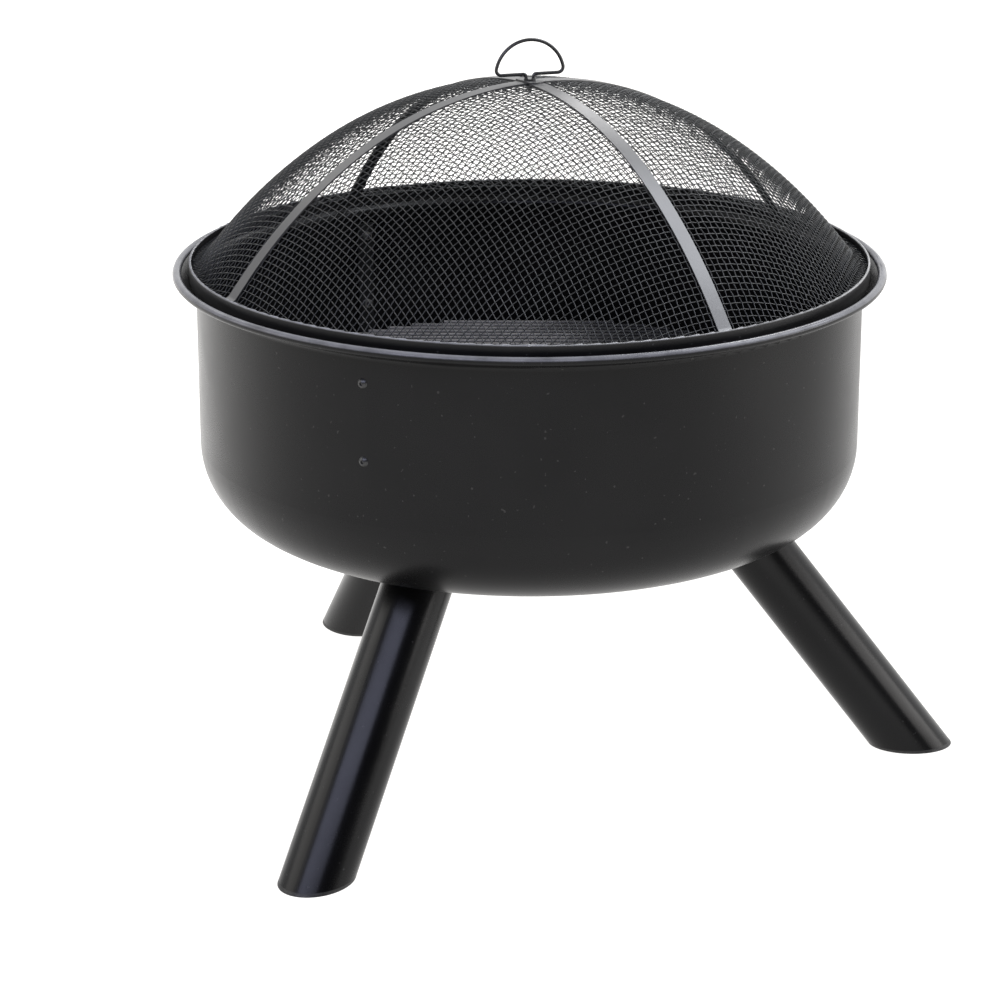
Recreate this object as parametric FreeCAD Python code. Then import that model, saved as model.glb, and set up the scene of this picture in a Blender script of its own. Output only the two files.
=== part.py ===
import FreeCAD, Part
import os
from math import atan2, ceil, cos, degrees, radians, sin, sqrt, tan

# Fire pit: spun steel bowl on three splayed tube legs, loose wire fire grate, and a domed
# spark screen lid with crossed straps and a wire handle.
#
# Millimetres, +Z up. The origin is on the floor under the bowl's axis. The front is -Y, and one
# leg points along +X.

OUT = "parts"
AXIS_X = FreeCAD.Vector(1, 0, 0)
AXIS_Y = FreeCAD.Vector(0, 1, 0)
AXIS_Z = FreeCAD.Vector(0, 0, 1)
ORIGIN = FreeCAD.Vector(0, 0, 0)
FAR = 1000.0                    # longer than anything here, for cutting tools
DRILL = 20.0                    # length of a drill, through any wall here
CUT_PAST = 1.0                  # how far a bore's tool runs past the end that it opens

CURL_STEP = 20.0                # degrees in each arc of a tight curl

# Bowl, spun from sheet
SHEET = 1.5
WALL_R = 308.5                  # outside of the straight wall
FLOOR_Z = 238.0                 # underside of the flat floor
CORNER_R = 76.0                 # outside radius between floor and wall
RIM_BEND_R = 6.0                # middle of the sheet, wall to flared ledge
LEDGE_SLOPE = 35.0              # degrees above level
GROOVE_R = 2.0                  # middle of the sheet, ledge to bead
GROOVE_TURN = 45.0
BEAD_R = 3.25                   # middle of the sheet in the rolled bead
BEAD_TURN = 300.0
BEAD_CENTRE = (326.0, 475.4)    # radius, height

# Legs
LEG_ANGLES = (0.0, 120.0, 240.0)
LEG_R = 32.0                    # tube outside
LEG_WALL = 2.0
LEG_TILT = 37.5                 # degrees from upright
FOOT_RADIUS = 371.0             # bowl axis to the tube's centre at the floor
CAP_FLANGE = 3.0
CAP_PLUG = 12.0
CAP_PLAY = 0.2
TOP_PLATE = 3.0
LEG_BOLT_SPREAD = 18.0          # each bolt from the leg's centre, along the radius

# Fasteners: shank radius, across flats, nut height, washer radius, washer thickness
M8_R, M8_FLATS, M8_NUT, M8_HEAD = 4.0, 13.0, 6.5, 5.3
M8_WASHER_R, M8_WASHER = 8.0, 1.6
M5_R, M5_FLATS, M5_NUT = 2.5, 8.0, 4.0
M5_HEAD_R, M5_HEAD, M5_SOCKET, M5_SOCKET_DEPTH = 4.75, 2.75, 3.0, 1.6
M4_R, M4_FLATS, M4_NUT = 2.0, 7.0, 3.2
HOLE_PLAY = 0.3                 # radius added for a clearance hole
HEAD_ROUNDING = 0.3             # how far the corners' rounding cuts into a hex head's top
THREAD_OVER = 2.0               # shank shown past its nut

# Grate brackets, bolted inside the wall
BRACKET_TURN = 2.6              # degrees round from each leg
BRACKET_W = 17.0
BRACKET_T = 2.0
BRACKET_TOP = 453.0
BRACKET_BOLTS = (441.0, 371.0)
LEDGE_TOP = 338.0
LEDGE_REACH = 20.0

# Fire grate
GRATE_RING_R = 289.0            # centre line
GRATE_RING_WIRE = 3.0
GRATE_BAR_WIRE = 2.0
GRATE_PITCH = 12.0
GRATE_WELD = 0.4                # bars sunk into the ring
GRATE_RODS = (-150.0, 0.0, 150.0)

# Lid: hoop
HOOP_SHEET = 2.0
HOOP_R = 314.5                  # outside
HOOP_BOTTOM = 470.95
HOOP_TOP = 487.0                # top of the rounded edge
HOOP_WELD_R = 1.7               # bump on the rounded edge at the front, where the band's ends meet
HOOP_WELD_OUT = 0.9             # how far the bump's centre is out from the band's middle

# Lid: screen and straps, heights and radii at the middle of the screen
SCREEN_T = 0.8
SCREEN_TOP = 646.6
CROWN_R, CROWN_TURN = 345.0, 35.0
SHOULDER_R, SHOULDER_TURN = 443.0, 16.5
SKIRT_LINE = 17.2
BRIM_R = 8.0
SCREEN_EDGE_R = HOOP_R - HOOP_SHEET
STRAP_T = 1.3
STRAP_W = 14.0
STRAP_END_R = 310.6
UPPER_STRAP_ARMS = (-56.5, 125.5)   # directions of the two arms, not quite in line
LOWER_STRAP_ARMS = (37.0, 210.0)
STRAP_STEP = (12.0, 14.0)       # the upper strap steps over the lower one between these radii

# Lid: handle
HANDLE_YAW = 17.6
HANDLE_WIRE = 1.6
HANDLE_ARC_R = 32.6             # centre line
HANDLE_CORNER_R = 5.0
HANDLE_BEND_R = 2.6
HANDLE_PRONG = 3.5              # each prong from the middle
HANDLE_BAR_Z = 655.0
HANDLE_TOP_Z = 686.4            # centre line
STUD_HEAD_R, STUD_HEAD = 5.5, 1.5
STUD_END = 639.0
LID_WASHER_R, LID_WASHER, LID_WASHER_TOP = 7.0, 1.0, 646.1


def vec(r, z):
    return FreeCAD.Vector(r, 0, z)


def turned(shape, angle):
    """A copy of the shape, turned about the bowl's axis."""
    copy = shape.copy()
    copy.rotate(ORIGIN, AXIS_Z, angle)
    return copy


def revolved(face):
    return face.revolve(ORIGIN, AXIS_Z, 360)


def export(name, *solids):
    shape = solids[0] if len(solids) == 1 else Part.makeCompound(list(solids))
    shape.exportStep(os.path.join(OUT, name + ".step"))


# A path in the r-z plane is a start point, a heading in degrees and a list of moves:
# ("line", length) or ("arc", radius, turn), where a positive turn is to the left.

def curl(radius, turn):
    """A tight curl: the turn as equal arcs of at most CURL_STEP degrees, so that each is a face."""
    count = ceil(abs(turn) / CURL_STEP)
    return [("arc", radius, turn / count)] * count


def path_edges(start, heading, moves, offset=0.0):
    """Edges of the path, shifted sideways by offset, positive to the left."""
    r, z = start
    edges = []

    def shifted(pr, pz, direction):
        a = radians(direction + 90)
        return vec(pr + offset * cos(a), pz + offset * sin(a))

    for move in moves:
        if move[0] == "line":
            r2 = r + move[1] * cos(radians(heading))
            z2 = z + move[1] * sin(radians(heading))
            edges.append(Part.makeLine(shifted(r, z, heading), shifted(r2, z2, heading)))
            r, z = r2, z2
            continue
        radius, turn = move[1], move[2]
        side = 90 if turn > 0 else -90
        cr = r + radius * cos(radians(heading + side))
        cz = z + radius * sin(radians(heading + side))
        points = []
        for part in (0.0, 0.5, 1.0):
            h = heading + turn * part
            pr = cr - radius * cos(radians(h + side))
            pz = cz - radius * sin(radians(h + side))
            points.append((pr, pz, h))
        edges.append(Part.Arc(*(shifted(*p) for p in points)).toShape())
        r, z, heading = points[2]
    return edges


def sheet_face(start, heading, moves, thickness, lift=0.0):
    """Section of a sheet that follows the path, its middle shifted left by lift."""
    left = path_edges(start, heading, moves, lift + thickness / 2)
    right = path_edges(start, heading, moves, lift - thickness / 2)
    first = Part.makeLine(right[0].Vertexes[0].Point, left[0].Vertexes[0].Point)
    last = Part.makeLine(left[-1].Vertexes[-1].Point, right[-1].Vertexes[-1].Point)
    wire = Part.Wire(Part.__sortEdges__([first, *left, last, *right]))
    return Part.Face(wire)


def hexagon(flats, height, base, direction):
    """Hexagonal prism."""
    corner = flats / 2 / cos(radians(30))
    frame = FreeCAD.Placement(base, FreeCAD.Rotation(AXIS_Z, direction))
    points = []
    for k in range(7):
        a = radians(60 * k)
        points.append(FreeCAD.Vector(corner * cos(a), corner * sin(a), 0))
    prism = Part.Face(Part.makePolygon(points)).extrude(FreeCAD.Vector(0, 0, height))
    prism.Placement = frame
    return prism


# ---------------------------------------------------------------- bowl

def bowl_blank():
    mid_corner = CORNER_R - SHEET / 2
    floor = WALL_R - CORNER_R
    groove_end = (BEAD_CENTRE[0] - BEAD_R * sin(radians(LEDGE_SLOPE + GROOVE_TURN)),
                  BEAD_CENTRE[1] + BEAD_R * cos(radians(LEDGE_SLOPE + GROOVE_TURN)))
    steep = LEDGE_SLOPE + GROOVE_TURN
    ledge_end = (groove_end[0] - GROOVE_R * (sin(radians(steep)) - sin(radians(LEDGE_SLOPE))),
                 groove_end[1] - GROOVE_R * (cos(radians(LEDGE_SLOPE)) - cos(radians(steep))))
    bend = 90 - LEDGE_SLOPE
    ledge_start_r = WALL_R - SHEET / 2 + RIM_BEND_R * (1 - cos(radians(bend)))
    ledge = (ledge_end[0] - ledge_start_r) / cos(radians(LEDGE_SLOPE))
    ledge_start_z = ledge_end[1] - ledge * sin(radians(LEDGE_SLOPE))
    wall_top = ledge_start_z - RIM_BEND_R * sin(radians(bend))
    moves = [
        ("line", floor),
        ("arc", mid_corner, 90),
        ("line", wall_top - (FLOOR_Z + CORNER_R)),
        ("arc", RIM_BEND_R, -bend),
        ("line", ledge),
        *curl(GROOVE_R, GROOVE_TURN),
        *curl(BEAD_R, -BEAD_TURN),
    ]
    return revolved(sheet_face((0, FLOOR_Z + SHEET / 2), 0, moves, SHEET))


def bowl():
    holes = []
    for angle in LEG_ANGLES:
        for x in leg_bolt_radii():
            start = FreeCAD.Vector(x, 0, FLOOR_Z - DRILL / 2)
            drill = Part.makeCylinder(M8_R + HOLE_PLAY, DRILL, start)
            holes.append(turned(drill, angle))
        for z in BRACKET_BOLTS:
            start = FreeCAD.Vector(WALL_R - DRILL / 2, 0, z)
            drill = Part.makeCylinder(M5_R + HOLE_PLAY, DRILL, start, AXIS_X)
            holes.append(turned(drill, angle + BRACKET_TURN))
    return bowl_blank().cut(Part.makeCompound(holes))


# ---------------------------------------------------------------- legs, all drawn along +X

def leg_centre(z):
    """Distance of the tube's centre from the bowl's axis at a height."""
    return FOOT_RADIUS - z * tan(radians(LEG_TILT))


def leg_bolt_radii():
    middle = leg_centre(FLOOR_Z - TOP_PLATE)
    return (middle - LEG_BOLT_SPREAD, middle + LEG_BOLT_SPREAD)


def slanted_bar(radius, low, high):
    """The leg's slanted cylinder, cut level at two heights."""
    tilt = radians(LEG_TILT)
    along = FreeCAD.Vector(-sin(tilt), 0, cos(tilt))
    start = FreeCAD.Vector(FOOT_RADIUS, 0, 0) - along * (FAR / 2)
    bar = Part.makeCylinder(radius, FAR, start, along)
    slab = Part.makeBox(2 * FAR, 2 * FAR, high - low, FreeCAD.Vector(-FAR, -FAR, low))
    return bar.common(slab)


def leg_tube():
    low, high = CAP_FLANGE, FLOOR_Z - TOP_PLATE
    bore = slanted_bar(LEG_R - LEG_WALL, low - CUT_PAST, high + CUT_PAST)
    return slanted_bar(LEG_R, low, high).cut(bore)


def foot_cap():
    plug_r = LEG_R - LEG_WALL - CAP_PLAY
    flange = slanted_bar(LEG_R, 0, CAP_FLANGE)
    plug = slanted_bar(plug_r, CAP_FLANGE, CAP_FLANGE + CAP_PLUG)
    core = slanted_bar(plug_r - LEG_WALL, CAP_FLANGE, CAP_FLANGE + CAP_PLUG + CUT_PAST)
    return flange.fuse(plug.cut(core)).removeSplitter()


def leg_top_plate():
    plate = slanted_bar(LEG_R, FLOOR_Z - TOP_PLATE, FLOOR_Z)
    for x in leg_bolt_radii():
        base = FreeCAD.Vector(x, 0, FLOOR_Z - DRILL / 2)
        plate = plate.cut(Part.makeCylinder(M8_R + HOLE_PLAY, DRILL, base))
    return plate


def leg_bolt(x):
    """Hex bolt pushed down through the bowl's floor."""
    seat = FLOOR_Z + SHEET + M8_WASHER
    end = FLOOR_Z - TOP_PLATE - M8_NUT - THREAD_OVER
    head = hexagon(M8_FLATS, M8_HEAD, FreeCAD.Vector(x, 0, seat), AXIS_Z)
    low_r, top_r = M8_FLATS / 2 + M8_HEAD, M8_FLATS / 2 - HEAD_ROUNDING
    rounding = Part.makeCone(low_r, top_r, M8_HEAD + HEAD_ROUNDING, FreeCAD.Vector(x, 0, seat))
    shank = Part.makeCylinder(M8_R, seat - end, FreeCAD.Vector(x, 0, end))
    return head.common(rounding).fuse(shank).removeSplitter()


def ring_washer(x, z, outer, inner, thickness):
    base = FreeCAD.Vector(x, 0, z)
    return Part.makeCylinder(outer, thickness, base).cut(Part.makeCylinder(inner, thickness, base))


def leg_nut(x):
    """Weld nut under the leg's top plate."""
    base = FreeCAD.Vector(x, 0, FLOOR_Z - TOP_PLATE - M8_NUT)
    bore = Part.makeCylinder(M8_R, M8_NUT, base)
    return hexagon(M8_FLATS, M8_NUT, base, AXIS_Z).cut(bore)


# ---------------------------------------------------------------- grate brackets

def bracket_back():
    """Distance of the bracket's flat back from the bowl's axis: its long edges touch the wall."""
    return sqrt((WALL_R - SHEET) ** 2 - (BRACKET_W / 2) ** 2)


def bracket():
    back = bracket_back()
    low = LEDGE_TOP - BRACKET_T
    strip = Part.makeBox(BRACKET_T, BRACKET_W, BRACKET_TOP - low,
                         FreeCAD.Vector(back - BRACKET_T, -BRACKET_W / 2, low))
    ledge = Part.makeBox(LEDGE_REACH, BRACKET_W, BRACKET_T,
                         FreeCAD.Vector(back - LEDGE_REACH, -BRACKET_W / 2, low))
    body = strip.fuse(ledge).removeSplitter()
    for z in BRACKET_BOLTS:
        start = FreeCAD.Vector(back - DRILL / 2, 0, z)
        body = body.cut(Part.makeCylinder(M5_R + HOLE_PLAY, DRILL, start, AXIS_X))
    return body


def bracket_bolt(z):
    """Button-head socket bolt, head outside the wall."""
    end = bracket_back() - BRACKET_T - M5_NUT - THREAD_OVER
    shank = Part.makeCylinder(M5_R, WALL_R - end, FreeCAD.Vector(end, 0, z), AXIS_X)
    ball_r = (M5_HEAD_R ** 2 + M5_HEAD ** 2) / (2 * M5_HEAD)
    ball = Part.makeSphere(ball_r, FreeCAD.Vector(WALL_R + M5_HEAD - ball_r, 0, z))
    slab = Part.makeCylinder(ball_r, M5_HEAD, FreeCAD.Vector(WALL_R, 0, z), AXIS_X)
    socket = hexagon(M5_SOCKET, 2 * M5_SOCKET_DEPTH,
                     FreeCAD.Vector(WALL_R + M5_HEAD - M5_SOCKET_DEPTH, 0, z), AXIS_X)
    return ball.common(slab).fuse(shank).cut(socket).removeSplitter()


def bracket_nut(z):
    base = FreeCAD.Vector(bracket_back() - BRACKET_T - M5_NUT, 0, z)
    bore = Part.makeCylinder(M5_R, M5_NUT, base, AXIS_X)
    return hexagon(M5_FLATS, M5_NUT, base, AXIS_X).cut(bore)


# ---------------------------------------------------------------- fire grate

def fire_grate():
    ring_z = LEDGE_TOP + GRATE_RING_WIRE
    bar_z = ring_z + GRATE_RING_WIRE + GRATE_BAR_WIRE - GRATE_WELD
    ring = Part.makeTorus(GRATE_RING_R, GRATE_RING_WIRE, FreeCAD.Vector(0, 0, ring_z))
    rods = []
    for x in GRATE_RODS:
        half = sqrt(GRATE_RING_R ** 2 - x ** 2)
        rods.append(Part.makeCylinder(GRATE_RING_WIRE, 2 * half, FreeCAD.Vector(x, -half, ring_z),
                                      AXIS_Y))
    bars = []
    side = int((GRATE_RING_R - GRATE_RING_WIRE) // GRATE_PITCH)
    for k in range(-side, side + 1):
        y = k * GRATE_PITCH
        half = sqrt(GRATE_RING_R ** 2 - y ** 2) + GRATE_BAR_WIRE / 2
        bars.append(Part.makeCylinder(GRATE_BAR_WIRE, 2 * half, FreeCAD.Vector(-half, y, bar_z),
                                      AXIS_X))
    return ring.multiFuse(rods + bars)


# ---------------------------------------------------------------- lid

def lid_hoop():
    """Flat band on edge, with a rounded top and a small weld on it."""
    middle = HOOP_R - HOOP_SHEET / 2
    edge_z = HOOP_TOP - HOOP_SHEET / 2
    band = revolved(sheet_face((middle, HOOP_BOTTOM), 90, [("line", edge_z - HOOP_BOTTOM)], HOOP_SHEET))
    edge = Part.makeTorus(middle, HOOP_SHEET / 2, FreeCAD.Vector(0, 0, edge_z))
    weld = Part.makeSphere(HOOP_WELD_R, FreeCAD.Vector(0, -(middle + HOOP_WELD_OUT), edge_z))
    return band.multiFuse([edge, weld]).removeSplitter()


def dome_moves(edge_r):
    """Crown, shoulder, straight skirt and level brim of the screen, out to a radius."""
    slope = CROWN_TURN + SHOULDER_TURN
    brim_start = (CROWN_R * sin(radians(CROWN_TURN))
                  + SHOULDER_R * (sin(radians(slope)) - sin(radians(CROWN_TURN)))
                  + SKIRT_LINE * cos(radians(slope))
                  + BRIM_R * sin(radians(slope)))
    return [
        ("arc", CROWN_R, -CROWN_TURN),
        ("arc", SHOULDER_R, -SHOULDER_TURN),
        ("line", SKIRT_LINE),
        ("arc", BRIM_R, slope),
        ("line", edge_r - brim_start),
    ]


def stud_drill(play):
    return Part.makeCylinder(M4_R + play, FAR, FreeCAD.Vector(0, 0, SCREEN_TOP - FAR / 2))


def spark_screen():
    face = sheet_face((0, SCREEN_TOP), 0, dome_moves(SCREEN_EDGE_R), SCREEN_T)
    return revolved(face).cut(stud_drill(HOLE_PLAY))


def strap_layer(layer):
    """Whole dome of strap thickness lying on the screen, or on the layer below."""
    lift = SCREEN_T / 2 + STRAP_T * (layer + 0.5)
    return revolved(sheet_face((0, SCREEN_TOP), 0, dome_moves(STRAP_END_R), STRAP_T, lift))


def strap_slice(shape, angles):
    """The part of a layer over a strap: two arms in their own directions and a round middle."""
    plan = Part.makeCylinder(STRAP_W / 2, FAR, ORIGIN)
    for angle in angles:
        box = Part.makeBox(FAR, STRAP_W, FAR, FreeCAD.Vector(0, -STRAP_W / 2, 0))
        plan = plan.fuse(turned(box, angle))
    return shape.common(plan.removeSplitter()).cut(stud_drill(HOLE_PLAY))


def upper_strap():
    inner, outer = STRAP_STEP
    core = Part.makeCylinder(inner, FAR, ORIGIN)
    disc = Part.makeCylinder(outer, FAR, ORIGIN)
    arms = strap_layer(0).cut(core)
    bridge = strap_layer(1).common(disc)
    return strap_slice(arms, UPPER_STRAP_ARMS).fuse(strap_slice(bridge, UPPER_STRAP_ARMS))


def lower_strap():
    return strap_slice(strap_layer(0), LOWER_STRAP_ARMS)


def handle_path():
    """Centre line of the right half of the handle, prong first, in the X-Z plane."""
    arc_z = HANDLE_TOP_Z - HANDLE_ARC_R
    corner_z = HANDLE_BAR_Z + HANDLE_CORNER_R
    reach = HANDLE_ARC_R - HANDLE_CORNER_R
    corner_x = sqrt(reach ** 2 - (corner_z - arc_z) ** 2)
    swing = degrees(atan2(corner_z - arc_z, corner_x))
    prong_end = strap_top() + STUD_HEAD
    bend_x = HANDLE_PRONG + HANDLE_BEND_R
    return (HANDLE_PRONG, prong_end), 90, [
        ("line", HANDLE_BAR_Z - HANDLE_BEND_R - prong_end),
        ("arc", HANDLE_BEND_R, -90),
        ("line", corner_x - bend_x),
        ("arc", HANDLE_CORNER_R, 90 + swing),
        ("arc", HANDLE_ARC_R, 90 - swing),
    ]


def handle_wire():
    start, heading, moves = handle_path()
    edges = path_edges(start, heading, moves)
    spine = Part.Wire(edges)
    circle = Part.makeCircle(HANDLE_WIRE, vec(*start), AXIS_Z)
    half = spine.makePipeShell([Part.Wire(circle)], True, False)
    other = half.mirror(ORIGIN, AXIS_X)
    return turned(half.fuse(other).removeSplitter(), HANDLE_YAW)


def strap_top():
    return SCREEN_TOP + SCREEN_T / 2 + 2 * STRAP_T


def handle_stud():
    head = Part.makeCylinder(STUD_HEAD_R, STUD_HEAD, FreeCAD.Vector(0, 0, strap_top()))
    shank = Part.makeCylinder(M4_R, strap_top() - STUD_END, FreeCAD.Vector(0, 0, STUD_END))
    return head.fuse(shank).removeSplitter()


def handle_nut():
    base = FreeCAD.Vector(0, 0, LID_WASHER_TOP - LID_WASHER - M4_NUT)
    bore = Part.makeCylinder(M4_R, M4_NUT, base)
    return hexagon(M4_FLATS, M4_NUT, base, AXIS_Z).cut(bore)


# ---------------------------------------------------------------- all pieces

def main():
    os.makedirs(OUT, exist_ok=True)
    export("bowl", bowl())

    tube, plate, cap, arm = leg_tube(), leg_top_plate(), foot_cap(), bracket()
    for number, angle in enumerate(LEG_ANGLES, start=1):
        export(f"leg_{number}", turned(tube, angle))
        export(f"leg_plate_{number}", turned(plate, angle))
        export(f"foot_cap_{number}", turned(cap, angle))
        export(f"grate_bracket_{number}", turned(arm, angle + BRACKET_TURN))
        bolts, nuts, washers = [], [], []
        for x in leg_bolt_radii():
            bolts.append(turned(leg_bolt(x), angle))
            nuts.append(turned(leg_nut(x), angle))
            washer = ring_washer(x, FLOOR_Z + SHEET, M8_WASHER_R, M8_R + HOLE_PLAY, M8_WASHER)
            washers.append(turned(washer, angle))
        export(f"leg_bolts_{number}", *bolts)
        export(f"leg_nuts_{number}", *nuts)
        export(f"leg_washers_{number}", *washers)

    wall_bolts, wall_nuts = [], []
    for angle in LEG_ANGLES:
        for z in BRACKET_BOLTS:
            wall_bolts.append(turned(bracket_bolt(z), angle + BRACKET_TURN))
            wall_nuts.append(turned(bracket_nut(z), angle + BRACKET_TURN))
    export("bracket_bolts", *wall_bolts)
    export("bracket_nuts", *wall_nuts)

    export("fire_grate", fire_grate())

    export("lid_hoop", lid_hoop())
    export("spark_screen", spark_screen())
    export("upper_strap", upper_strap())
    export("lower_strap", lower_strap())
    export("handle_wire", handle_wire())
    export("handle_stud", handle_stud())
    export("handle_washer", ring_washer(0, LID_WASHER_TOP - LID_WASHER, LID_WASHER_R,
                                        M4_R + HOLE_PLAY, LID_WASHER))
    export("handle_nut", handle_nut())


main()
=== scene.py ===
from math import cos, hypot, pi, radians, sin

import bpy
import numpy as np
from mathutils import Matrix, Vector


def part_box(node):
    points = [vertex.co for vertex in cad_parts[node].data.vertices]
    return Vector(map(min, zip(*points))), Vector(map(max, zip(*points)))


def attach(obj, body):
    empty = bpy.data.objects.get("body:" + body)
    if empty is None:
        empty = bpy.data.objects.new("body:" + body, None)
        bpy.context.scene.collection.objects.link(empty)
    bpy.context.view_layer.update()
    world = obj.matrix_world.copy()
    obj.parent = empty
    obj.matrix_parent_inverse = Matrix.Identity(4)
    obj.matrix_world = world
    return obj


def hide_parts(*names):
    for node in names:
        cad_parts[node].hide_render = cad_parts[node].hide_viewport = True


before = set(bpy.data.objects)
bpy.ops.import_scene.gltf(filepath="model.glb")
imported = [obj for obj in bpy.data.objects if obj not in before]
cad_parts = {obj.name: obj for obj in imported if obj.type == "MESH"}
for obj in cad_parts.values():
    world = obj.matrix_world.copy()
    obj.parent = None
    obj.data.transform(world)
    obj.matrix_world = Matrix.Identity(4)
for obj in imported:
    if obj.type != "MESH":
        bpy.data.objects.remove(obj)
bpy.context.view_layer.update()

# ---------------------------------------------------------------- sizes, in metres

MM = 0.001

# Spark screen, as in the CAD: the middle of its sheet from the top outwards, turns in degrees
SCREEN_TOP = 646.6 * MM
CROWN_R, CROWN_TURN = 345.0 * MM, 35.0
SHOULDER_R, SHOULDER_TURN = 443.0 * MM, 16.5
SKIRT_LINE = 17.2 * MM
BRIM_R = 8.0 * MM
BRIM_LINE = 50.0 * MM               # level, and run on past the edge, where the wires are cut
PROFILE_STEP = 0.5 * MM

# Woven wire
WIRE_PITCH = 6.4 * MM               # along each wire
WIRE_R = 0.44 * MM
WIRE_SIDES = 8
WIRE_TURN = 33.0                    # degrees from +X to one family of wires
WIRE_STOP = 0.2 * MM                # from the wires' ends to the edge of the CAD screen
KNOTS_PAST_EDGE = 2                 # crossings made past the edge, for cutting the wires there
KNOT_TRIES = 8                      # rounds of Newton's method
KNOT_STEP = 0.01 * MM               # its trial step, and a move small enough to end it
SLOPE_GAP = 1.0 * MM                # each side of a point, where the dome's slope is measured
AT_CENTRE = 1e-9                    # least radius that gives a direction

# Painted highlights on the rim bead and the hoop's lip: heights painted paler, and the colour there
RIM_HIGHLIGHT_BAND, RIM_HIGHLIGHT_COLOUR = (475.6 * MM, 477.6 * MM), (0.13, 0.13, 0.136)
LIP_HIGHLIGHT_BAND, LIP_HIGHLIGHT_COLOUR = (484.9 * MM, 486.3 * MM), (0.22, 0.22, 0.22)

# Painted shade on the grate: X from plain to painted dark, and how far the border wanders
GRATE_SHADE_FROM, GRATE_SHADE_TO = -20.0 * MM, 110.0 * MM
GRATE_SHADE_WANDER = 40.0 * MM

SCUFF_HEIGHT = 3.0 * MM             # on the foot caps

CAMERA_PLACE = Vector((0.0, -2.9575, 1.2264))
CAMERA_AIM = Vector((-0.0271, 0.0, 0.2460))
CAMERA_LENS = 118.05                # millimetres, as is the sensor's width
CAMERA_SENSOR = 36.0
CAMERA_REACH = 100.0

# ---------------------------------------------------------------- studio values

# Floor: its size, the strengths of its own light, and where they change
FLOOR_SIZE = 60.0
FLOOR_UNDER, FLOOR_FRONT = 1.05, 1.45
FLOOR_BACK_LEFT, FLOOR_BACK_RIGHT = 1.65, 1.07
FLOOR_NEAR, FLOOR_CLEAR = 0.32, 0.70        # radius where it starts and stops getting brighter
FLOOR_LEFT, FLOOR_RIGHT = -0.8, 0.8         # X
FLOOR_AHEAD, FLOOR_BEHIND = -0.3, 0.5       # Y
FLOOR_GLOW = (1.0, 0.985, 0.965, 1.0)
FLOOR_PAINT = (0.1, 0.1, 0.1, 1.0)

# The sky's two fades: axis, where it starts and ends, and the strength at each end
SKY_FADES = (("Y", -0.45, 0.15, 0.05, 1.4),
             ("X", -0.85, -0.15, 0.7, 1.0))

# Softboxes: place, width and height, radiance, colour
LAMP_AIM = Vector((0.0, 0.0, 0.4))
LAMPS = {
    "top_right": ((1.75, 0.35, 2.5), (1.7, 2.2), 6.5, (0.90, 0.93, 1.0)),
    "top_front": ((-0.44, -1.75, 1.74), (2.3, 0.8), 6.2, (0.72, 0.75, 1.0)),
    "top_back": ((0.7, 2.4, 2.4), (0.8, 0.7), 9.5, (1.0, 1.0, 1.0)),
    "top_left": ((-1.9, 2.3, 2.4), (0.6, 0.6), 3.0, (1.0, 0.97, 0.93)),
    "left": ((-2.0, -0.37, 1.28), (1.9, 0.9), 2.3, (1.0, 0.97, 0.93)),
    "right": ((1.95, -0.3, 0.52), (1.3, 0.4), 5.0, (1.0, 0.97, 0.95)),
}

# ---------------------------------------------------------------- paints

NOISE_MIDDLE = (0.3, 0.7)           # most of a noise's values lie between these

# Patterns that the paints share. A scale is in waves per metre, a pair is the noise's values where
# the pattern starts to show and where it is full, and a cover is how much of the dusty shade it adds
GLOSS_SCALE = 14.0
SPECK_SCALE, SPECKS, SPECK_COVER = 320.0, (0.815, 0.85), 0.5
FILM_SCALE, FILM, FILM_COVER = 5.0, (0.45, 0.75), 0.06
# Uneven patches of the painted highlights on edges
HIGHLIGHT_SCALE, HIGHLIGHT_NOISE = 40.0, (0.3, 0.6)
HIGHLIGHT_LEAST = 0.6                     # of the full painted highlight, where it is faintest
HIGHLIGHT_SMOOTHER = 0.10                 # taken off the roughness where the painted highlight is strongest

# colour and dusty are the clean and the dusty shade; spread is how much the roughness varies;
# grain is the fine noise's scale and dents its depth
# painted_highlight is a band of heights painted paler as a highlight, and its colour there
PAINTS = {
    "bowl_paint": dict(colour=(0.0025, 0.0025, 0.0027), dusty=(0.05, 0.048, 0.045), roughness=0.28,
                       spread=0.03, grain=900.0, dents=0.02 * MM, specular=0.16,
                       # The bowl's rim bead carries a painted highlight
                       painted_highlight=(RIM_HIGHLIGHT_BAND, RIM_HIGHLIGHT_COLOUR)),
    "leg_paint": dict(colour=(0.0015, 0.0015, 0.0018), dusty=(0.03, 0.03, 0.03), roughness=0.26,
                      spread=0.03, grain=1100.0, dents=0.012 * MM, specular=0.2),
    "lid_paint": dict(colour=(0.003, 0.003, 0.0033), dusty=(0.06, 0.06, 0.06), roughness=0.34,
                      spread=0.04, grain=900.0, dents=0.02 * MM, specular=0.3,
                      # The hoop's lip carries a painted highlight
                      painted_highlight=(LIP_HIGHLIGHT_BAND, LIP_HIGHLIGHT_COLOUR)),
    "strap_paint": dict(colour=(0.018, 0.018, 0.019), dusty=(0.07, 0.07, 0.07), roughness=0.38,
                        spread=0.03, grain=1200.0, dents=0.015 * MM, specular=0.8),
    "handle_paint": dict(colour=(0.008, 0.008, 0.008), dusty=(0.06, 0.06, 0.06), roughness=0.33,
                         spread=0.05, grain=1500.0, dents=0.02 * MM, specular=0.5),
    "bracket_paint": dict(colour=(0.005, 0.005, 0.005), dusty=(0.06, 0.06, 0.06), roughness=0.45,
                          spread=0.05, grain=1200.0, dents=0.03 * MM, specular=0.3),
    "black_bolts": dict(colour=(0.008, 0.008, 0.008), dusty=(0.05, 0.05, 0.05), roughness=0.35,
                        spread=0.05, grain=2500.0, dents=0.02 * MM, specular=0.5),
}


def numbered(name):
    """The three CAD nodes of a name, one for each leg."""
    return [f"{name}_{number}" for number in (1, 2, 3)]


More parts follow.
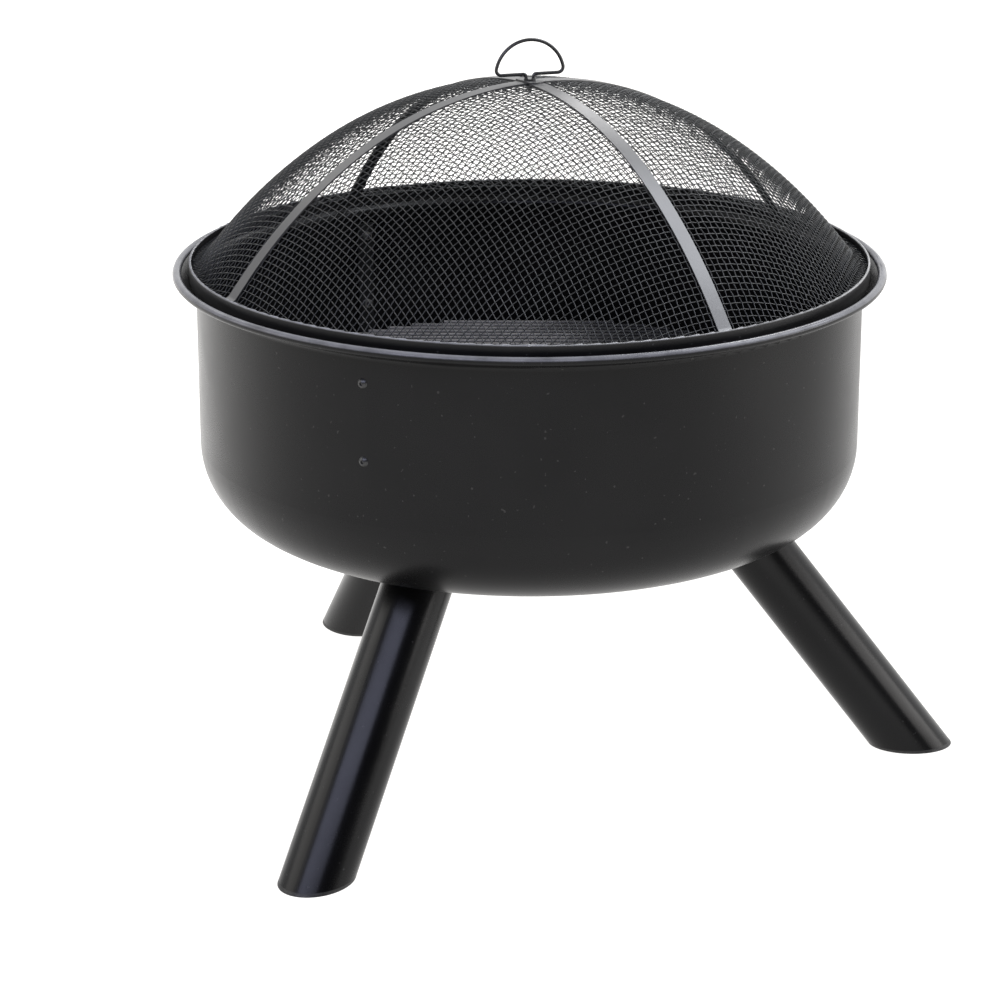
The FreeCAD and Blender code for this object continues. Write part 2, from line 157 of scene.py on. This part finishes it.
PAINTED = {
    "bowl_paint": ["bowl"],
    "leg_paint": numbered("leg") + numbered("leg_plate"),
    "lid_paint": ["lid_hoop"],
    "strap_paint": ["upper_strap", "lower_strap"],
    "handle_paint": ["handle_wire", "handle_stud"],
    "bracket_paint": numbered("grate_bracket"),
    "black_bolts": ["bracket_bolts", "handle_washer", "handle_nut"],
}
ZINC_PLATED = ["bracket_nuts", *numbered("leg_bolts"), *numbered("leg_nuts"), *numbered("leg_washers")]


# ---------------------------------------------------------------- node helpers

class Nodes:
    """A material's node tree, with short calls for the nodes used here."""

    def __init__(self, name):
        self.material = bpy.data.materials.new(name)
        self.material.use_nodes = True
        self.tree = self.material.node_tree
        self.tree.nodes.clear()
        self.shader = self.add("ShaderNodeBsdfPrincipled")
        output = self.add("ShaderNodeOutputMaterial")
        self.link(self.shader.outputs["BSDF"], output.inputs["Surface"])
        self.place = self.add("ShaderNodeTexCoord").outputs["Object"]

    def add(self, kind):
        return self.tree.nodes.new(kind)

    def link(self, source, target):
        self.tree.links.new(source, target)

    def set(self, **values):
        """Constants on the shader's own sockets."""
        for name, value in values.items():
            self.shader.inputs[name.replace("_", " ")].default_value = value

    def feed(self, **sources):
        """Node outputs into the shader's sockets."""
        for name, source in sources.items():
            self.link(source, self.shader.inputs[name.replace("_", " ")])

    def noise(self, scale, detail=3.0, roughness=0.55):
        """Scale is in waves per metre."""
        node = self.add("ShaderNodeTexNoise")
        node.inputs["Scale"].default_value = scale
        node.inputs["Detail"].default_value = detail
        node.inputs["Roughness"].default_value = roughness
        self.link(self.place, node.inputs["Vector"])
        return node.outputs["Fac"]

    def mapped(self, source, low, high, to_low=0.0, to_high=1.0, smooth=False):
        node = self.add("ShaderNodeMapRange")
        node.interpolation_type = "SMOOTHSTEP" if smooth else "LINEAR"
        for name, value in (("From Min", low), ("From Max", high),
                            ("To Min", to_low), ("To Max", to_high)):
            node.inputs[name].default_value = value
        self.link(source, node.inputs["Value"])
        return node.outputs["Result"]

    def varied(self, noise, low, high):
        """A noise spread over a range."""
        return self.mapped(noise, *NOISE_MIDDLE, low, high)

    def maths(self, operation, first, second):
        node = self.add("ShaderNodeMath")
        node.operation = operation
        for socket, value in zip(node.inputs, (first, second)):
            if isinstance(value, (int, float)):
                socket.default_value = value
            else:
                self.link(value, socket)
        return node.outputs["Value"]

    def mixed(self, amount, first, second):
        """Colour between two others."""
        node = self.add("ShaderNodeMix")
        node.data_type = "RGBA"
        self.link(amount, node.inputs["Factor"])
        colours = [socket for socket in node.inputs if socket.type == "RGBA"]
        for socket, value in zip(colours, (first, second)):
            if isinstance(value, tuple):
                socket.default_value = (*value, 1.0)
            else:
                self.link(value, socket)
        return next(socket for socket in node.outputs if socket.type == "RGBA")

    def bump(self, height, distance):
        node = self.add("ShaderNodeBump")
        node.inputs["Distance"].default_value = distance
        self.link(height, node.inputs["Height"])
        return node.outputs["Normal"]

    def axis(self, name):
        node = self.add("ShaderNodeSeparateXYZ")
        self.link(self.place, node.inputs["Vector"])
        return node.outputs[name]


# ---------------------------------------------------------------- materials

def paint(name, colour, dusty, roughness, spread, grain, dents, specular, painted_highlight=None):
    """Sprayed paint: fine grain, patches of different gloss, a thin film and a few specks of dust.
    A painted highlight on an edge, given as its heights and colour, is paler and smoother."""
    n = Nodes(name)
    patches = n.noise(GLOSS_SCALE, detail=4.0)
    fine = n.noise(grain, detail=2.0, roughness=0.6)
    specks = n.mapped(n.noise(SPECK_SCALE, detail=0.0), *SPECKS, to_high=SPECK_COVER)
    film = n.mapped(n.noise(FILM_SCALE, detail=5.0), *FILM, to_high=FILM_COVER)
    shade = n.mixed(n.maths("MAXIMUM", specks, film), colour, dusty)
    gloss = n.maths("ADD", n.varied(patches, -spread, spread), n.varied(fine, -spread / 2, spread / 2))
    # Painted highlight: a band of heights made paler and smoother, in uneven patches
    if painted_highlight:
        band, highlight_colour = painted_highlight
        edge = n.mapped(n.axis("Z"), *band, smooth=True)
        uneven = n.mapped(n.noise(HIGHLIGHT_SCALE, detail=4.0), *HIGHLIGHT_NOISE, to_low=HIGHLIGHT_LEAST)
        wear_and_highlight = n.maths("MULTIPLY", edge, uneven)
        shade = n.mixed(wear_and_highlight, shade, highlight_colour)
        gloss = n.maths("SUBTRACT", gloss, n.maths("MULTIPLY", wear_and_highlight, HIGHLIGHT_SMOOTHER))
    n.feed(Base_Color=shade, Roughness=n.maths("ADD", gloss, roughness), Normal=n.bump(fine, dents))
    n.set(Specular_IOR_Level=specular)
    return n.material


def zinc():
    """Zinc plating with a faint crystal pattern and dull patches."""
    bright, dull, roughness = (0.62, 0.61, 0.58), (0.42, 0.42, 0.41), 0.32
    n = Nodes("zinc_steel")
    patches = n.noise(scale=60.0, detail=5.0)
    fine = n.noise(scale=1800.0, detail=3.0)
    gloss = n.maths("ADD", n.varied(patches, low=-0.06, high=0.10), n.varied(fine, low=-0.04, high=0.04))
    n.feed(Base_Color=n.mixed(n.mapped(patches, low=0.4, high=0.7), bright, dull),
           Roughness=n.maths("ADD", gloss, roughness), Normal=n.bump(fine, distance=0.02 * MM))
    n.set(Metallic=1.0)
    return n.material


def grate_wire():
    """Plating dulled by heat and thin ash, with painted shade darkening it towards +X."""
    ashy, dull, painted_shade_colour = (0.19, 0.182, 0.17), (0.13, 0.125, 0.118), (0.012, 0.012, 0.012)
    n = Nodes("plated_wire")
    patches = n.noise(scale=45.0, detail=5.0)
    fine = n.noise(scale=1500.0, detail=3.0)
    # Painted shade: the wire turns dark towards +X, with a wandering border
    wander = n.varied(n.noise(scale=12.0), -GRATE_SHADE_WANDER, GRATE_SHADE_WANDER)
    painted_shade = n.mapped(n.maths("ADD", n.axis("X"), wander), GRATE_SHADE_FROM, GRATE_SHADE_TO, smooth=True)
    plating = n.mixed(n.mapped(patches, low=0.4, high=0.65), ashy, dull)
    n.feed(Base_Color=n.mixed(painted_shade, plating, painted_shade_colour), Roughness=n.varied(fine, low=0.55, high=0.68),
           Normal=n.bump(fine, distance=0.03 * MM))
    n.set(Metallic=0.35)
    return n.material


def cap_plastic():
    """Moulded plastic with a fine grain, scuffed close to the ground."""
    black, wear_and_highlight = (0.006, 0.006, 0.006), (0.06, 0.058, 0.055)
    n = Nodes("foot_plastic")
    fine = n.noise(scale=1500.0, detail=2.0)
    near_ground = n.mapped(n.axis("Z"), 0.0, SCUFF_HEIGHT, to_low=1.0, to_high=0.0)
    scrapes = n.mapped(n.noise(scale=300.0, detail=4.0), low=0.45, high=0.7, to_high=0.8)
    scuff = n.maths("MULTIPLY", near_ground, scrapes)
    n.feed(Base_Color=n.mixed(scuff, black, wear_and_highlight), Roughness=n.varied(fine, low=0.44, high=0.56),
           Normal=n.bump(fine, distance=0.03 * MM))
    n.set(Specular_IOR_Level=0.4)
    return n.material


def screen_wire():
    """Black painted wire, in patches of two shades."""
    dark, pale = (0.009, 0.0098, 0.0095), (0.020, 0.0212, 0.0208)
    n = Nodes("screen_wire")
    patches = n.noise(scale=30.0, detail=4.0)
    fine = n.noise(scale=1800.0, detail=2.0)
    n.feed(Base_Color=n.mixed(n.mapped(patches, low=0.35, high=0.7), dark, pale),
           Roughness=n.varied(fine, low=0.36, high=0.52), Normal=n.bump(fine, distance=0.03 * MM))
    n.set(Specular_IOR_Level=0.4)
    return n.material


def dress(material, names):
    """Gives CAD nodes a material through their objects' own slots."""
    for name in names:
        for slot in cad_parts[name].material_slots:
            slot.link = "OBJECT"
            slot.material = material


def dress_cad():
    for name, nodes in PAINTED.items():
        dress(paint(name, **PAINTS[name]), nodes)
    dress(zinc(), ZINC_PLATED)
    dress(grate_wire(), ["fire_grate"])
    dress(cap_plastic(), numbered("foot_cap"))


# ---------------------------------------------------------------- spark screen, woven from wire

def dome_profile():
    """Radius, height and arc length down the middle of the screen, from the top past its edge."""
    points = [(0.0, SCREEN_TOP)]
    heading = 0.0
    for radius, turn, line in ((CROWN_R, -CROWN_TURN, 0.0),
                               (SHOULDER_R, -SHOULDER_TURN, SKIRT_LINE),
                               (BRIM_R, CROWN_TURN + SHOULDER_TURN, BRIM_LINE)):
        r, z = points[-1]
        side = 90.0 if turn > 0 else -90.0
        centre_r = r + radius * cos(radians(heading + side))
        centre_z = z + radius * sin(radians(heading + side))
        count = int(radius * radians(abs(turn)) / PROFILE_STEP) + 1
        for k in range(1, count + 1):
            angle = radians(heading + turn * k / count + side)
            points.append((centre_r - radius * cos(angle), centre_z - radius * sin(angle)))
        heading += turn
        if line:
            r, z = points[-1]
            points.append((r + line * cos(radians(heading)), z + line * sin(radians(heading))))
    profile = np.array(points)
    steps = np.hypot(*np.diff(profile, axis=0).T)
    return profile[:, 0], profile[:, 1], np.concatenate([[0.0], np.cumsum(steps)])


class Dome:
    """The screen's middle surface."""

    def __init__(self, edge_r):
        self.r, self.z, self.arc = dome_profile()
        self.edge_r = edge_r

    def on(self, plan):
        """Points on the dome over plan points."""
        return np.column_stack([plan, np.interp(np.hypot(*plan.T), self.r, self.z)])

    def at(self, arc, angle):
        """The point at an arc length from the top, in a direction."""
        r = np.interp(arc, self.arc, self.r)
        return self.on(np.array([[r * cos(angle), r * sin(angle)]]))[0]

    def normals(self, points):
        r = np.hypot(points[:, 0], points[:, 1])
        outer = np.interp(r + SLOPE_GAP, self.r, self.z)
        inner = np.interp(r - SLOPE_GAP, self.r, self.z)
        rise = (outer - inner) / (2 * SLOPE_GAP)
        out = points[:, :2] / np.maximum(r, AT_CENTRE)[:, None]
        normals = np.column_stack([-out * rise[:, None], np.ones(len(r))])
        return normals / np.linalg.norm(normals, axis=1)[:, None]


def knot(dome, first, second, guess):
    """The point on the dome one pitch from two others, by Newton's method in plan."""
    plan = guess[:2].copy()
    for _ in range(KNOT_TRIES):
        trial = dome.on(np.array([plan, plan + (KNOT_STEP, 0), plan + (0, KNOT_STEP)]))
        miss = np.column_stack([np.linalg.norm(trial - first, axis=1),
                                np.linalg.norm(trial - second, axis=1)]) - WIRE_PITCH
        slope = np.column_stack([miss[1] - miss[0], miss[2] - miss[0]]) / KNOT_STEP
        move = np.linalg.solve(slope, miss[0])
        plan -= np.clip(move, -WIRE_PITCH / 2, WIRE_PITCH / 2)
        if abs(move).max() < KNOT_STEP:
            break
    return dome.on(plan[None])[0]


def woven_grid(dome):
    """Where the wires cross, as for cloth pressed over the dome: every knot is one pitch from
    its neighbours along both wires. The two middle wires run straight down the dome."""
    reach = int(np.interp(dome.edge_r, dome.r, dome.arc) / WIRE_PITCH) + KNOTS_PAST_EDGE
    furthest = dome.edge_r + KNOTS_PAST_EDGE * WIRE_PITCH
    size = 2 * reach + 1
    grid = np.full((size, size, 3), np.nan)
    turn = radians(WIRE_TURN)
    for k in range(-reach, reach + 1):
        for row, column, angle in ((reach + k, reach, turn), (reach, reach + k, turn + pi / 2)):
            grid[row, column] = dome.at(abs(k) * WIRE_PITCH, angle + (pi if k < 0 else 0.0))
    for down in (-1, 1):
        for along in (-1, 1):
            for i in range(1, reach + 1):
                for j in range(1, reach + 1):
                    row, column = reach + down * i, reach + along * j
                    first, second = grid[row - down, column], grid[row, column - along]
                    if np.isnan(first[0]) or np.isnan(second[0]):
                        break
                    guess = first + second - grid[row - down, column - along]
                    if hypot(*guess[:2]) > furthest:
                        break
                    grid[row, column] = knot(dome, first, second, guess)
    return grid


def on_edge(inner, outer, edge_r):
    """Where the line from a point inside the edge to one outside crosses it."""
    inner_r, outer_r = hypot(*inner[:2]), hypot(*outer[:2])
    return inner + (outer - inner) * (edge_r - inner_r) / (outer_r - inner_r)


def clipped(points, edge_r):
    """The stretch of a wire inside the edge, ending on the edge itself."""
    inside = np.flatnonzero(np.hypot(points[:, 0], points[:, 1]) < edge_r)
    if len(inside) < 2:
        return None
    low, high = inside[[0, -1]]
    run = list(points[low:high + 1])
    if low > 0:
        run.insert(0, on_edge(points[low], points[low - 1], edge_r))
    if high + 1 < len(points):
        run.append(on_edge(points[high], points[high + 1], edge_r))
    return np.array(run)


def wire_rings(points, normals):
    """A ring of vertices round each point of a wire."""
    angles = np.arange(WIRE_SIDES) * 2 * pi / WIRE_SIDES
    around, up = np.cos(angles), np.sin(angles)
    along = np.gradient(points, axis=0)
    along /= np.linalg.norm(along, axis=1)[:, None]
    across = np.cross(along, normals)
    across /= np.linalg.norm(across, axis=1)[:, None]
    rise = np.cross(across, along)
    return points[:, None] + WIRE_R * (across[:, None] * around[None, :, None]
                                       + rise[:, None] * up[None, :, None])


def wires_piece(name, runs):
    """One piece of round, closed wires. Each run is (points, normals of the surface)."""
    vertices, faces = [], []
    base = 0
    for points, normals in runs:
        vertices.append(wire_rings(points, normals).reshape(-1, 3))
        last = base + (len(points) - 1) * WIRE_SIDES
        for ring in range(base, last, WIRE_SIDES):
            for side in range(WIRE_SIDES):
                a = ring + side
                b = ring + (side + 1) % WIRE_SIDES
                faces.append((a, a + WIRE_SIDES, b + WIRE_SIDES, b))
        faces.append(tuple(base + side for side in range(WIRE_SIDES)))
        faces.append(tuple(last + side for side in reversed(range(WIRE_SIDES))))
        base = last + WIRE_SIDES
    mesh = bpy.data.meshes.new(name)
    mesh.from_pydata(np.concatenate(vertices).tolist(), [], faces)
    mesh.shade_smooth()
    piece = bpy.data.objects.new(name, mesh)
    bpy.context.scene.collection.objects.link(piece)
    return piece


def wire_runs(dome, grid, family):
    """The wires of one family, going over and under those of the other."""
    runs = []
    for index in range(len(grid)):
        line = grid[:, index] if family == 0 else grid[index]
        knots = np.flatnonzero(~np.isnan(line[:, 0]))
        if len(knots) < 2:
            continue
        points = line[knots]
        side = np.where((knots + index + family) % 2 == 0, 1.0, -1.0)
        run = clipped(points + dome.normals(points) * (side * WIRE_R)[:, None], dome.edge_r)
        if run is not None:
            runs.append((run, dome.normals(run)))
    return runs


def build_screen():
    """Two families of wires in place of the CAD screen's shell."""
    dome = Dome(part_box("spark_screen")[1].x - WIRE_STOP)
    grid = woven_grid(dome)
    material = screen_wire()
    for family, name in enumerate(("screen_warp_wires", "screen_weft_wires")):
        piece = wires_piece(name, wire_runs(dome, grid, family))
        piece.data.materials.append(material)
        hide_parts("spark_screen")
        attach(piece, "lid")


# ---------------------------------------------------------------- studio

def floor():
    """Pale floor, lit from within: brightest behind the pit on the left, and least under it."""
    half = FLOOR_SIZE / 2
    mesh = bpy.data.meshes.new("floor")
    mesh.from_pydata([(-half, -half, 0), (half, -half, 0), (half, half, 0), (-half, half, 0)], [],
                     [(0, 1, 2, 3)])
    plane = bpy.data.objects.new("floor", mesh)
    bpy.context.scene.collection.objects.link(plane)
    n = Nodes("floor_paint")
    radius = n.add("ShaderNodeVectorMath")
    radius.operation = "LENGTH"
    n.link(n.place, radius.inputs[0])
    side = n.mapped(n.axis("X"), FLOOR_LEFT, FLOOR_RIGHT, FLOOR_BACK_LEFT - FLOOR_FRONT,
                    FLOOR_BACK_RIGHT - FLOOR_FRONT, smooth=True)
    behind = n.mapped(n.axis("Y"), FLOOR_AHEAD, FLOOR_BEHIND, smooth=True)
    open_floor = n.maths("ADD", n.maths("MULTIPLY", side, behind), FLOOR_FRONT - FLOOR_UNDER)
    clear = n.mapped(radius.outputs["Value"], FLOOR_NEAR, FLOOR_CLEAR, smooth=True)
    n.feed(Emission_Strength=n.maths("ADD", n.maths("MULTIPLY", clear, open_floor), FLOOR_UNDER))
    n.set(Base_Color=FLOOR_PAINT, Emission_Color=FLOOR_GLOW, Roughness=0.9, Specular_IOR_Level=0.1)
    mesh.materials.append(n.material)


def softbox(name, place, size, radiance, colour):
    """A rectangular lamp aimed at the middle of the object."""
    lamp = bpy.data.lights.new(name, "AREA")
    lamp.shape = "RECTANGLE"
    lamp.size, lamp.size_y = size
    lamp.energy = radiance * pi * size[0] * size[1]
    lamp.color = colour
    light = bpy.data.objects.new(name, lamp)
    bpy.context.scene.collection.objects.link(light)
    light.location = place
    light.rotation_euler = (LAMP_AIM - Vector(place)).to_track_quat("-Z", "Y").to_euler()
    light.visible_camera = False


def sky():
    """White behind the pit, less to the left, and dim on the camera's side."""
    world = bpy.data.worlds.new("studio")
    world.use_nodes = True
    tree = world.node_tree
    place = tree.nodes.new("ShaderNodeTexCoord")
    axes = tree.nodes.new("ShaderNodeSeparateXYZ")
    tree.links.new(place.outputs["Generated"], axes.inputs["Vector"])
    both = tree.nodes.new("ShaderNodeMath")
    both.operation = "MULTIPLY"
    for (axis, *values), socket in zip(SKY_FADES, both.inputs):
        fade = tree.nodes.new("ShaderNodeMapRange")
        fade.interpolation_type = "SMOOTHSTEP"
        for name, value in zip(("From Min", "From Max", "To Min", "To Max"), values):
            fade.inputs[name].default_value = value
        tree.links.new(axes.outputs[axis], fade.inputs["Value"])
        tree.links.new(fade.outputs["Result"], socket)
    background = tree.nodes["Background"]
    background.inputs["Color"].default_value = (1.0, 1.0, 1.0, 1.0)
    tree.links.new(both.outputs["Value"], background.inputs["Strength"])
    bpy.context.scene.world = world


def studio():
    floor()
    sky()
    for name, (place, size, radiance, colour) in LAMPS.items():
        softbox(name, place, size, radiance, colour)
    bpy.context.scene.view_settings.view_transform = "Standard"


def camera():
    data = bpy.data.cameras.new("camera")
    data.lens = CAMERA_LENS
    data.sensor_width = CAMERA_SENSOR
    data.clip_end = CAMERA_REACH
    eye = bpy.data.objects.new("camera", data)
    bpy.context.scene.collection.objects.link(eye)
    eye.location = CAMERA_PLACE
    eye.rotation_euler = (CAMERA_AIM - CAMERA_PLACE).to_track_quat("-Z", "Y").to_euler()
    bpy.context.scene.camera = eye


# ---------------------------------------------------------------- all

dress_cad()
build_screen()
studio()
camera()
